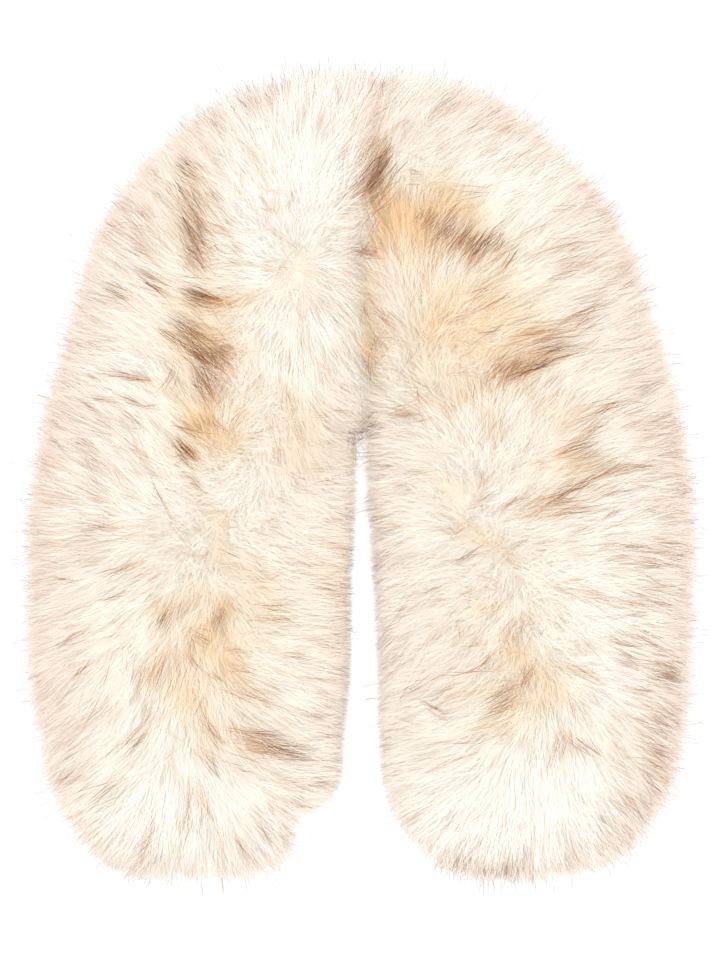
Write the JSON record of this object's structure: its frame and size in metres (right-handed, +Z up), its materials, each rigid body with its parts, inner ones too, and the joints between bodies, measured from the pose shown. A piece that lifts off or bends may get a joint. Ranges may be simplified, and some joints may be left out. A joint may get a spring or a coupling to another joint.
{
  "type": "fur collar wrap",
  "caption": "Plush long-pile fur collar laid flat, bent into an upturned U with a crease at the back of the neck and two full rounded ends.",
  "frame": {"origin": "on the ground under the middle of the outline of the whole collar", "axes": "+Y from the ends of the legs to the back of the neck, +X to the right stretch as seen from above, +Z up, out of the face of the collar"},
  "size_m": [0.4478, 0.54, 0.075],
  "materials": {
    "pile": "long soft synthetic fur, ivory and cream with tan undercoat patches and dark brown guard-hair tips",
    "pile_under": "the same fur pressed flat by the weight, cream to tan",
    "ground_cloth": "knitted tan backing of the fur cloth, matt"
  },
  "bodies": {
    "root": {"front_panel": "ground_cloth", "back_panel": "ground_cloth", "pile_left": "pile", "pile_right": "pile", "pile_under_left": "pile_under", "pile_under_right": "pile_under"}
  },
  "joints": []
}
